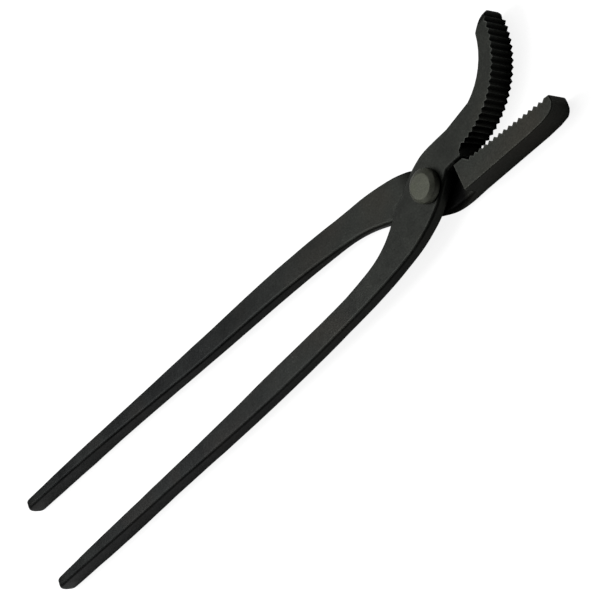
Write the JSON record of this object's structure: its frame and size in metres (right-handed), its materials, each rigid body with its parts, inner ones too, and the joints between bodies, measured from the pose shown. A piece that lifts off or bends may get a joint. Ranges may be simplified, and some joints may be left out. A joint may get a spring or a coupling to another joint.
{
  "type": "blacksmith tongs",
  "caption": "Forged steel tongs with long reins, one hooked and one straight serrated jaw, turning on a headed rivet.",
  "frame": {"origin": "on the rivet's axis, in the plane of the flat back faces that lie on a bench", "axes": "+X along the tongs towards the jaws, +Y across them towards the curved jaw, +Z along the rivet towards its head"},
  "size_m": [0.3596, 0.063, 0.015],
  "materials": {
    "forged_steel": "forged, oil-blackened, satin",
    "rivet_steel": "hammered head, worn to a warm grey"
  },
  "bodies": {
    "straight_half": {"straight_jaw_half": "forged_steel", "pivot_rivet": "rivet_steel"},
    "curved_half": {"curved_jaw_half": "forged_steel"}
  },
  "joints": [
    {"name": "jaw_hinge", "type": "hinge", "parent": "straight_half", "child": "curved_half", "pos_m": [0, 0, 0.0055], "axis": [0, 0, 1], "range_deg": [-1, 40]}
  ]
}
